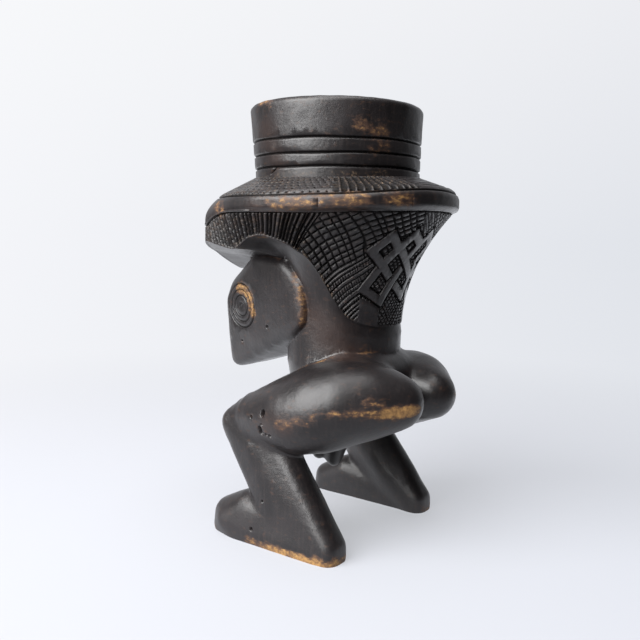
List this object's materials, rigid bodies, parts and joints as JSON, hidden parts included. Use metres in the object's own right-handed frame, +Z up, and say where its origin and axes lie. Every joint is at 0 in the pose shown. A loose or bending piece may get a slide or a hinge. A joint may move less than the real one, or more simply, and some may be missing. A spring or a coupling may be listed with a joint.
{
  "type": "figural cup",
  "caption": "Carved wooden cup: a squatting figure with ring eyes carries a round hollow cup on a wide hatched head-dress.",
  "frame": {"origin": "on the floor under the cup's axis, midway between the hood's front and the back of the buttocks", "axes": "+Z up along the cup's axis, -Y the way the figure faces, +X towards the figure's left"},
  "size_m": [0.1344, 0.1384, 0.23],
  "materials": {
    "carved_wood": "dark oiled hardwood, hand-carved and polished by handling, worn to ochre on ridges"
  },
  "bodies": {
    "root": {"figural_cup": "carved_wood"}
  },
  "joints": []
}
